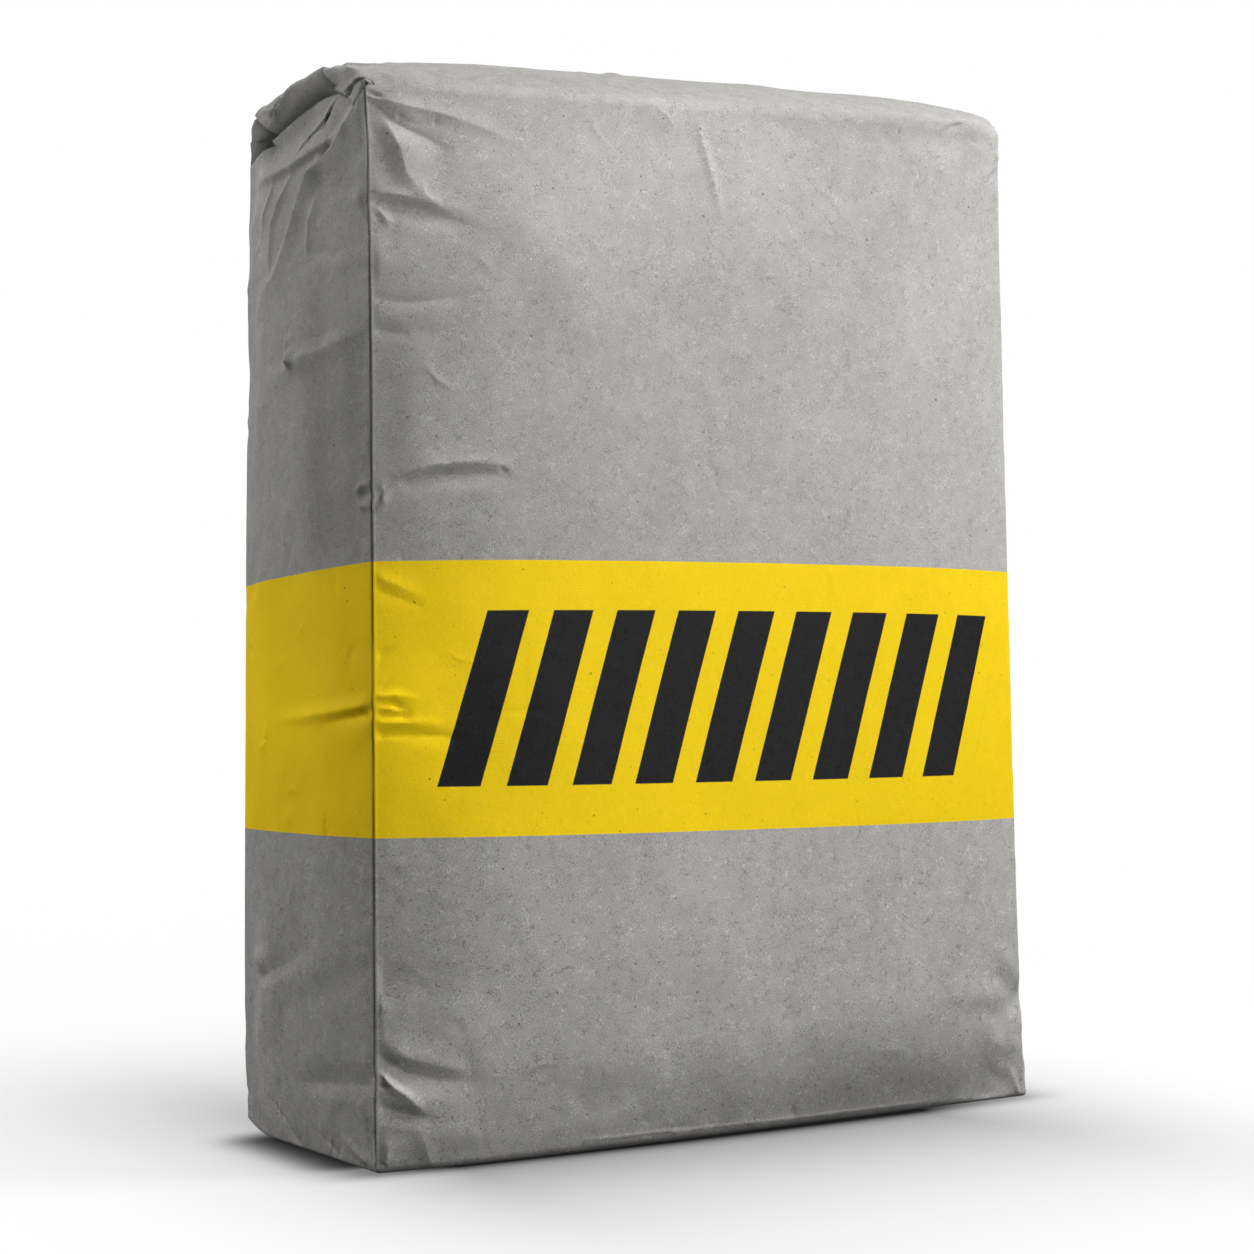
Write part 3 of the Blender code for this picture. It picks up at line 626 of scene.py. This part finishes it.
def thin_out(piece, most):
    """Joins the flattest faces until at most that many triangles are left."""
    faces = len(piece.data.polygons)
    collapse = piece.modifiers.new("thin_out", "DECIMATE")
    collapse.decimate_type = "COLLAPSE"
    collapse.ratio = min(1.0, most / (2 * faces))
    collapse.use_collapse_triangulate = True
    shown = piece.evaluated_get(bpy.context.evaluated_depsgraph_get())
    mesh = bpy.data.meshes.new_from_object(shown)
    mesh.name = piece.data.name
    piece.modifiers.clear()
    piece.data = mesh
    mesh.shade_smooth()


# Materials

def put(tree, kind, inputs=None, **settings):
    """Adds a node with its settings, and links or sets its inputs."""
    node = tree.nodes.new(kind)
    for key, value in settings.items():
        setattr(node, key, value)
    for key, value in (inputs or {}).items():
        if isinstance(value, bpy.types.NodeSocket):
            tree.links.new(value, node.inputs[key])
        else:
            node.inputs[key].default_value = value
    return node


def calc(tree, operation, *values):
    """A math node's result."""
    return put(tree, "ShaderNodeMath", dict(enumerate(values)), operation=operation).outputs[0]


def noise(tree, where, scale, detail=2.0, distortion=0.0):
    """Noise from 0 to 1 at that many cells a metre."""
    inputs = {"Vector": where, "Scale": scale, "Detail": detail, "Distortion": distortion}
    return put(tree, "ShaderNodeTexNoise", inputs, noise_dimensions="3D").outputs[0]


def ramp(tree, value, low, high, to_low=0.0, to_high=1.0):
    """Value mapped from one range to another, held at its ends."""
    inputs = {"Value": value, "From Min": low, "From Max": high, "To Min": to_low, "To Max": to_high}
    return put(tree, "ShaderNodeMapRange", inputs, clamp=True).outputs[0]


def moved(tree, where, offset):
    """The coordinates, shifted."""
    return put(tree, "ShaderNodeMapping", {"Vector": where, "Location": offset}).outputs[0]


def fibre_lines(tree, where, offset, scale, thin, cover):
    """Short curled fibres: the thin lines where a twisted noise crosses its middle, broken by another."""
    place = moved(tree, where, offset)
    crossing = calc(tree, "ABSOLUTE", calc(tree, "SUBTRACT", noise(tree, place, scale, 0.0, 1.5), 0.5))
    line = ramp(tree, crossing, 0.0, thin, 1.0, 0.0)
    patch = ramp(tree, noise(tree, place, scale * 0.55, 0.0), 1 - cover, 1 - cover + 0.06)
    return calc(tree, "MULTIPLY", line, patch)


def specks(tree, where, offset, scale, radius):
    """Round specks, in about every third cell, of random size."""
    place = moved(tree, where, offset)
    cell = put(tree, "ShaderNodeTexVoronoi", {"Vector": place, "Scale": scale, "Randomness": 1.0})
    chance = put(tree, "ShaderNodeSeparateColor", {"Color": cell.outputs["Color"]}).outputs[0]
    size = ramp(tree, chance, 0.62, 1.0, 0.0, radius)
    return ramp(tree, calc(tree, "SUBTRACT", size, cell.outputs["Distance"]), 0.0, radius * 0.3)


def added(tree, start, *terms):
    """A value with each term times its weight added."""
    for value, weight in terms:
        start = calc(tree, "MULTIPLY_ADD", value, weight, start)
    return start


def paper_tone(tree, where):
    """Brightness of the paper round 1: its clouds, its grain with curled fibres, and its specks."""
    clouds = added(tree, -0.5 * (0.24 + 0.22 + 0.10), (noise(tree, where, 14, 3.0), 0.24),
                   (noise(tree, where, 60, 3.0), 0.22), (noise(tree, where, 190, 2.0), 0.10))
    light = fibre_lines(tree, where, (3.1, 0.7, 1.9), 270, 0.050, 0.50)
    dark = fibre_lines(tree, where, (7.3, 2.2, 5.1), 280, 0.050, 0.50)
    fine = noise(tree, where, 1300, 0.0)
    grain = added(tree, -0.5 * 0.36, (fine, 0.36), (light, 0.28), (dark, -0.28))
    height = put(tree, "ShaderNodeSeparateXYZ", {"Vector": where}).outputs[2]
    grain = calc(tree, "MULTIPLY", grain, ramp(tree, height, 0.10, 0.35, 1.35, 1.0))
    spots = added(tree, 0.0, (specks(tree, where, (1.7, 4.4, 0.3), 130, 0.12), -0.50),
                  (specks(tree, where, (0.4, 2.3, 6.1), 240, 0.17), -0.30),
                  (specks(tree, where, (5.2, 8.1, 2.6), 120, 0.070), 0.25))
    relief = added(tree, 0.0, (fine, 1.0), (light, 0.5), (dark, -0.5), (noise(tree, where, 190, 2.0), 1.0))
    return clouds, grain, spots, relief


def band_edge(tree, x, y, rise, across, deep, bow):
    """Height of a band edge: it drops towards the right and the back, and bows along the width."""
    sloped = calc(tree, "MULTIPLY_ADD", x, across, rise)
    sloped = calc(tree, "MULTIPLY_ADD", calc(tree, "ADD", y, 0.080), deep, sloped)
    return calc(tree, "MULTIPLY_ADD", calc(tree, "MULTIPLY", x, x), bow, sloped)


def inside_mask(tree, distance, soft=0.0002):
    """1 where a signed distance is positive, with an edge as soft as ink on paper."""
    return ramp(tree, distance, -soft, soft)


def printed_paper(paper, prints):
    """Grey kraft paper with the band and its row of slanted bars printed on it."""
    material = bpy.data.materials.new("printed_kraft_paper")
    material.use_nodes = True
    tree = material.node_tree
    shader = tree.nodes["Principled BSDF"]
    where = put(tree, "ShaderNodeTexCoord").outputs["Object"]
    axes = put(tree, "ShaderNodeSeparateXYZ", {"Vector": where}).outputs
    x, y, z = axes[0], axes[1], axes[2]
    clouds, grain, spots, relief = paper_tone(tree, where)

    top = band_edge(tree, x, y, prints.band_top, -0.0259, -0.0765, -0.029)
    bottom = band_edge(tree, x, y, prints.band_bottom, -0.0259, -0.024, 0.020)
    below_top = calc(tree, "SUBTRACT", top, z)
    above_bottom = calc(tree, "SUBTRACT", z, bottom)
    band = inside_mask(tree, calc(tree, "MINIMUM", below_top, above_bottom))

    row_low = calc(tree, "SUBTRACT", above_bottom, prints.bar_margin)
    row_high = calc(tree, "SUBTRACT", below_top, prints.bar_margin)
    leaned = calc(tree, "MULTIPLY_ADD", row_low, -prints.bar_lean, x)
    row = prints.row_right - prints.row_left - prints.bar_lean * BAR_HEIGHT
    pitch = row / (prints.bars - 1 + prints.bar_share)
    count = calc(tree, "DIVIDE", calc(tree, "SUBTRACT", leaned, prints.row_left), pitch)
    phase = calc(tree, "SUBTRACT", count, calc(tree, "FLOOR", count))
    within = calc(tree, "MINIMUM", phase, calc(tree, "SUBTRACT", prints.bar_share, phase))
    ends = calc(tree, "MINIMUM", count, calc(tree, "SUBTRACT", float(prints.bars), count))
    sides = calc(tree, "MULTIPLY", calc(tree, "MINIMUM", within, ends), pitch)
    distance = calc(tree, "MINIMUM", calc(tree, "MINIMUM", row_low, row_high), sides)
    face = inside_mask(tree, calc(tree, "SUBTRACT", calc(tree, "ABSOLUTE", y), 0.070), 0.001)
    bars = calc(tree, "MULTIPLY", inside_mask(tree, distance), face)

    def darkened(colour, value):
        grey = put(tree, "ShaderNodeCombineColor", {0: value, 1: value, 2: value}).outputs[0]
        inputs = {0: 1.0, 6: colour, 7: grey}
        return put(tree, "ShaderNodeMix", inputs, data_type="RGBA", blend_type="MULTIPLY").outputs[2]

    def tinted(colour, cloud, fibre, spot, fading=0.0):
        shade = added(tree, 1.0, (clouds, cloud), (grain, fibre), (spots, spot), (x, -fading))
        return darkened((*colour, 1.0), shade)

    def layered(under, over, mask):
        inputs = {0: mask, 6: under, 7: over}
        return put(tree, "ShaderNodeMix", inputs, data_type="RGBA").outputs[2]

    bare = tinted(paper.colour, 1.0, 1.0, 1.0)
    # The band's yellow, with painted shade that grows towards the right
    yellow = tinted(prints.band_colour, 0.25, 0.22, 1.1, prints.fading)
    colour = layered(bare, yellow, band)
    colour = layered(colour, tinted(prints.bar_colour, 1.0, 1.5, -1.0), bars)
    # Painted shade and light from the crease_shade attribute: darker in the deep folds and the groove, lighter
    # where it is negative
    crease = put(tree, "ShaderNodeAttribute", attribute_name="crease_shade").outputs["Fac"]
    colour = darkened(colour, calc(tree, "MULTIPLY_ADD", crease, -paper.crease_shade, 1.0))
    tree.links.new(colour, shader.inputs["Base Color"])

    rough = calc(tree, "MULTIPLY_ADD", band, -0.12, paper.roughness)
    rough = calc(tree, "MULTIPLY_ADD", bars, -0.12, rough)
    tree.links.new(rough, shader.inputs["Roughness"])
    shader.inputs["Specular IOR Level"].default_value = 0.12

    bump = put(tree, "ShaderNodeBump", {"Height": relief, "Strength": paper.relief, "Distance": 0.0003})
    tree.links.new(bump.outputs[0], shader.inputs["Normal"])
    return material


def plain_material(name, colour, roughness):
    """A plain matte material for the studio."""
    material = bpy.data.materials.new(name)
    material.use_nodes = True
    shader = material.node_tree.nodes["Principled BSDF"]
    shader.inputs["Base Color"].default_value = (*colour, 1.0)
    shader.inputs["Roughness"].default_value = roughness
    return material


# Sizes and colours that a user may change

class SackShape(PropertyGroup):
    """Sizes of the filled sack."""

    foot_left: FloatProperty(
        name="Foot left", description="Left end at the floor", default=-0.209, unit="LENGTH")
    foot_right: FloatProperty(
        name="Foot right", description="Right end at the floor", default=0.2075, unit="LENGTH")
    head_left: FloatProperty(
        name="Head left", description="Left end at the top corners", default=-0.1985, unit="LENGTH")
    head_right: FloatProperty(
        name="Head right", description="Right end at the top corners", default=0.202, unit="LENGTH")
    foot_depth: FloatProperty(
        name="Foot depth", description="Front to back at the floor", default=0.163, unit="LENGTH")
    head_depth: FloatProperty(
        name="Head depth", description="Front to back at the top corners", default=0.154, unit="LENGTH")
    corner_height: FloatProperty(
        name="Corner height", description="Floor to top corners", default=0.561, unit="LENGTH")
    belly: FloatProperty(
        name="Belly", description="How far the front and back stand out", default=0.016, unit="LENGTH")
    foot_belly: FloatProperty(
        name="Foot belly", description="How far they stand out at the floor", default=0.011, unit="LENGTH")
    foot_tuck: FloatProperty(
        name="Foot tuck", description="How far they curve in over the floor at the right end",
        default=0.009, unit="LENGTH")
    side_swell: FloatProperty(
        name="Side swell", description="How far the narrow sides stand out", default=0.008, unit="LENGTH")
    crown: FloatProperty(
        name="Crown", description="Rise of the top over its corners", default=0.0232, unit="LENGTH")
    head_flare: FloatProperty(
        name="Head flare", description="How far the top corners are drawn out", default=0.002, unit="LENGTH")
    head_twist: FloatProperty(
        name="Head twist", description="How far the left end is turned at the top",
        default=0.002, unit="LENGTH")
    back_fullness: FloatProperty(
        name="Back fullness", description="How far the back left edge stands out",
        default=0.0018, unit="LENGTH")
    foot_ear: FloatProperty(
        name="Foot ear", description="How far the right foot corners point out", default=0.004, unit="LENGTH")
    lifted_corner: FloatProperty(
        name="Lifted corner", description="Height of the back left foot corner", default=0.008, unit="LENGTH")
    pressed_edge: FloatProperty(
        name="Pressed edge", description="Radius of the front left upright edge",
        default=0.0008, unit="LENGTH")
    soft_edge: FloatProperty(
        name="Soft edges", description="Radius of the other upright edges", default=0.003, unit="LENGTH")
    head_edge: FloatProperty(
        name="Head edges", description="Radius of the top edges", default=0.006, unit="LENGTH")
    foot_edge: FloatProperty(
        name="Foot edges", description="Radius of the base edges", default=0.0025, unit="LENGTH")
    fold_strength: FloatProperty(
        name="Folds", description="How deep the folds are", default=1.0, min=0.0, max=2.0)


class BandPrint(PropertyGroup):
    """The printed band and its bars."""

    band_top: FloatProperty(
        name="Band top", description="Upper edge of the band", default=0.3101, unit="LENGTH")
    band_bottom: FloatProperty(
        name="Band bottom", description="Lower edge of the band", default=0.1659, unit="LENGTH")
    band_colour: FloatVectorProperty(
        name="Band", description="Colour of the band",
        default=(0.85, 0.595, 0.006), subtype="COLOR", size=3, min=0, max=1)
    # Painted shade: the band's yellow is darkened towards the right, where the light on it is strongest
    fading: FloatProperty(
        name="Fading", description="How much weaker the band's ink gets per metre to the right",
        default=0.65, min=0, max=2)
    bar_colour: FloatVectorProperty(
        name="Bar ink", description="Colour of the bars",
        default=(0.013, 0.013, 0.014), subtype="COLOR", size=3, min=0, max=1)
    bars: IntProperty(name="Bars", description="Number of bars in the row", default=9, min=1, max=40)
    bar_share: FloatProperty(
        name="Bar share", description="Ink to gap along the row", default=0.62, min=0.1, max=0.9)
    bar_lean: FloatProperty(
        name="Bar lean", description="Sideways lean over height", default=0.32, min=-1, max=1)
    bar_margin: FloatProperty(
        name="Margin", description="Band left above and below the bars", default=0.0262, unit="LENGTH")
    row_left: FloatProperty(
        name="Row left", description="Left end of the row", default=-0.1735, unit="LENGTH")
    row_right: FloatProperty(
        name="Row right", description="Right end of the row", default=0.183, unit="LENGTH")


class PaperFinish(PropertyGroup):
    """The sack paper."""

    colour: FloatVectorProperty(
        name="Paper", description="Colour of the kraft paper",
        default=(0.362, 0.355, 0.342), subtype="COLOR", size=3, min=0, max=1)
    roughness: FloatProperty(
        name="Roughness", description="Roughness of the bare paper", default=0.86, min=0, max=1)
    relief: FloatProperty(
        name="Relief", description="Strength of the fibre relief", default=0.2, min=0, max=1)
    # Strength of the painted shade in folds and groove, and of the painted light where it is negative
    crease_shade: FloatProperty(
        name="Crease shade", description="How dark the deep folds are", default=0.85, min=0, max=1)


class StudioSetup(PropertyGroup):
    """Camera and lights."""

    lens: FloatProperty(
        name="Lens", description="Focal length in millimetres on a 36 mm sensor", default=91.865)
    near_power: FloatProperty(
        name="Near", description="Power of the near light in front", default=4.75, unit="POWER")
    high_power: FloatProperty(
        name="High", description="Power of the high light on the right", default=64.0, unit="POWER")
    rim_power: FloatProperty(
        name="Rim", description="Power of the high light behind on the left", default=32.0, unit="POWER")
    back_power: FloatProperty(
        name="Back", description="Power of the light behind", default=20.0, unit="POWER")
    ambient: FloatProperty(name="Ambient", description="Brightness of the surroundings", default=0.07, min=0)


class SACK_OT_fill(Operator):
    """Makes the filled sack with its folds and its print."""

    bl_idname = "sack.fill"
    bl_label = "Make the cement sack"

    def execute(self, context):
        scene = context.scene
        points, quads, shade = folded_skin(scene.sack_shape)
        mesh = mesh_from_grid("filled_sack", points, quads)
        # The painted shade and light of each vertex, for the material
        depth = mesh.attributes.new("crease_shade", "FLOAT", "POINT")
        depth.data.foreach_set("value", np.clip(shade, -0.5, 1).astype(np.float32))
        piece = bpy.data.objects.new("filled_sack", mesh)
        scene.collection.objects.link(piece)
        thin_out(piece, MOST_TRIANGLES)
        piece.data.materials.append(printed_paper(scene.paper_finish, scene.band_print))
        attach(piece, "root")
        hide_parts("cement_sack")
        print("triangles", sum(len(p.vertices) - 2 for p in piece.data.polygons))
        return {"FINISHED"}


class SACK_OT_studio(Operator):
    """Makes the floor, the lights and the camera."""

    bl_idname = "sack.studio"
    bl_label = "Set up the studio"

    def execute(self, context):
        scene = context.scene
        setup = scene.studio_setup
        add_floor(scene)
        for name, place, size, power in (
            ("near", (0.22, -0.83, 0.54), 0.4, setup.near_power),
            ("high", (1.39, -0.80, 2.21), 0.8, setup.high_power),
            ("right", (0.92, -0.53, 0.86), 0.5, 0.45 * setup.near_power),
            ("rim", (-1.91, 1.10, 1.47), 0.8, setup.rim_power),
            ("back", (0.0, 2.2, 1.47), 0.8, setup.back_power),
        ):
            add_area_light(scene, name, place, size, power)
        add_surroundings(scene, setup.ambient)
        add_camera(scene, setup.lens)
        scene.view_settings.view_transform = "Standard"
        scene.view_settings.look = "None"
        return {"FINISHED"}


def outside(tree, value, low, high):
    """How far a value is outside a range, 0 within it."""
    beyond = calc(tree, "MAXIMUM", calc(tree, "SUBTRACT", low, value), calc(tree, "SUBTRACT", value, high))
    return calc(tree, "MAXIMUM", beyond, 0.0)


def fall_off(tree, x, y, narrow, reach, power=1.0):
    """1 on the floor within a rectangle, falling to 0 outside it; narrow shortens the reach in x."""
    ranges, over = narrow
    across = calc(tree, "MULTIPLY", outside(tree, x, *ranges[0]), over)
    away = calc(tree, "SQRT", calc(tree, "ADD", calc(tree, "POWER", across, 2.0),
                                   calc(tree, "POWER", outside(tree, y, *ranges[1]), 2.0)))
    share = calc(tree, "POWER", calc(tree, "DIVIDE", away, reach), power)
    return calc(tree, "EXPONENT", calc(tree, "MULTIPLY", share, -1.0))


def add_floor(scene):
    """A white floor with a painted soft shadow round the foot of the sack, which goes over into the backdrop.

    The shade is the sum of a wide one and a close one. Each falls off with the distance from a
    rectangle of floor under the sack, as ((left, right), (front, back)) and the weight of the
    distance sideways. The near one follows the bulge of the sack's front.
    """
    size = 6.0
    points = np.array([(-size, -size, 0), (size, -size, 0), (size, size, 0), (-size, size, 0)])
    mesh = mesh_from_grid("studio_floor", points, np.array([[0, 1, 2, 3]]))
    floor = bpy.data.objects.new("studio_floor", mesh)
    material = plain_material("studio_floor", (0.9, 0.9, 0.9), 0.9)
    tree = material.node_tree
    where = put(tree, "ShaderNodeTexCoord").outputs["Object"]
    axes = put(tree, "ShaderNodeSeparateXYZ", {"Vector": where}).outputs
    bulged = calc(tree, "MULTIPLY_ADD", calc(tree, "MULTIPLY", axes[0], axes[0]), -FOOT_BOW, FOOT_STAND)
    nearer = calc(tree, "ADD", axes[1], bulged)
    wide = (((-0.164, 0.13), (-0.108, 0.08)), 2.0)
    foot = (((-0.209, 0.195), (-0.081, 0.0)), 0.5)
    beside = (((-0.209, 0.185), (-0.045, 0.04)), 1.0)
    at_foot = calc(tree, "MULTIPLY", fall_off(tree, axes[0], nearer, foot, 0.014, 2.0), 0.40)
    at_side = calc(tree, "MULTIPLY", fall_off(tree, axes[0], axes[1], beside, 0.028, 3.0), 0.61)
    close = calc(tree, "MAXIMUM", at_foot, at_side)
    light = added(tree, 1.0, (fall_off(tree, axes[0], axes[1], wide, 0.17), -0.62), (close, -1.0))
    light = calc(tree, "MAXIMUM", light, 0.01)
    seen = put(tree, "ShaderNodeLightPath").outputs["Is Camera Ray"]
    white = put(tree, "ShaderNodeEmission", {"Color": (1, 1, 1, 1), "Strength": light})
    grey = put(tree, "ShaderNodeCombineColor", {0: light, 1: light, 2: light}).outputs[0]
    tree.links.new(grey, tree.nodes["Principled BSDF"].inputs["Base Color"])
    away = put(tree, "ShaderNodeVectorMath", {0: where}, operation="LENGTH").outputs["Value"]
    share = calc(tree, "MULTIPLY", ramp(tree, away, 0.35, 0.75, 0.85, 1.0), seen)
    mix = put(tree, "ShaderNodeMixShader", {0: share,
              1: tree.nodes["Principled BSDF"].outputs[0], 2: white.outputs[0]})
    tree.links.new(mix.outputs[0], tree.nodes["Material Output"].inputs["Surface"])
    floor.data.materials.append(material)
    floor.visible_diffuse = floor.visible_glossy = False
    scene.collection.objects.link(floor)


def add_area_light(scene, name, place, size, power):
    """A square soft light that faces the middle of the sack."""
    data = bpy.data.lights.new(name, "AREA")
    data.size = size
    data.energy = power
    light = bpy.data.objects.new(name, data)
    light.location = place
    light.rotation_euler = direction_turn(np.subtract(LIGHTS_AIM, place))
    scene.collection.objects.link(light)


def direction_turn(aim):
    """Euler turn of a light that looks along a direction."""
    x, y, z = aim
    return (math.atan2(math.hypot(x, y), -z), 0.0, math.atan2(-x, y))


def add_surroundings(scene, ambient):
    """A white backdrop that lights the sack only weakly."""
    world = bpy.data.worlds.new("studio")
    world.use_nodes = True
    tree = world.node_tree
    seen = put(tree, "ShaderNodeLightPath").outputs["Is Camera Ray"]
    strength = calc(tree, "MAXIMUM", seen, ambient)
    tree.nodes["Background"].inputs["Color"].default_value = (1, 1, 1, 1)
    tree.links.new(strength, tree.nodes["Background"].inputs["Strength"])
    scene.world = world


def add_camera(scene, lens):
    """The camera: left of the front, level with the sack's middle, turned a little about its axis."""
    data = bpy.data.cameras.new("camera")
    data.lens = lens
    data.sensor_width = 36.0
    camera = bpy.data.objects.new("camera", data)
    turned = Matrix.Rotation(CAMERA_TURN, 4, "Z")
    tilted = Matrix.Rotation(math.pi / 2 + CAMERA_TILT, 4, "X")
    rolled = Matrix.Rotation(CAMERA_ROLL, 4, "Z")
    camera.matrix_world = Matrix.Translation(CAMERA_PLACE) @ turned @ tilted @ rolled
    scene.collection.objects.link(camera)
    scene.camera = camera


class SACK_PT_panel(Panel):
    """Lists the sack's sizes, colours and steps."""

    bl_idname = "SACK_PT_panel"
    bl_label = "Cement sack"
    bl_space_type = "VIEW_3D"
    bl_region_type = "UI"
    bl_category = "Cement sack"

    def draw(self, context):
        layout = self.layout
        for group in ("sack_shape", "band_print", "paper_finish", "studio_setup"):
            settings = getattr(context.scene, group)
            box = layout.box()
            for name in settings.__annotations__:
                box.prop(settings, name)
        for operator in (SACK_OT_fill, SACK_OT_studio):
            layout.operator(operator.bl_idname)


GROUPS = {"sack_shape": SackShape, "band_print": BandPrint, "paper_finish": PaperFinish,
          "studio_setup": StudioSetup}
CLASSES = (*GROUPS.values(), SACK_OT_fill, SACK_OT_studio, SACK_PT_panel)


def register():
    """Adds the classes and their settings."""
    for item in CLASSES:
        bpy.utils.register_class(item)
    for name, group in GROUPS.items():
        setattr(bpy.types.Scene, name, PointerProperty(type=group))


def unregister():
    """Takes the classes and their settings away."""
    for name in GROUPS:
        delattr(bpy.types.Scene, name)
    for item in reversed(CLASSES):
        bpy.utils.unregister_class(item)


def main():
    """Makes everything in order."""
    register()
    bpy.ops.sack.fill()
    bpy.ops.sack.studio()


if __name__ == "__main__":
    main()
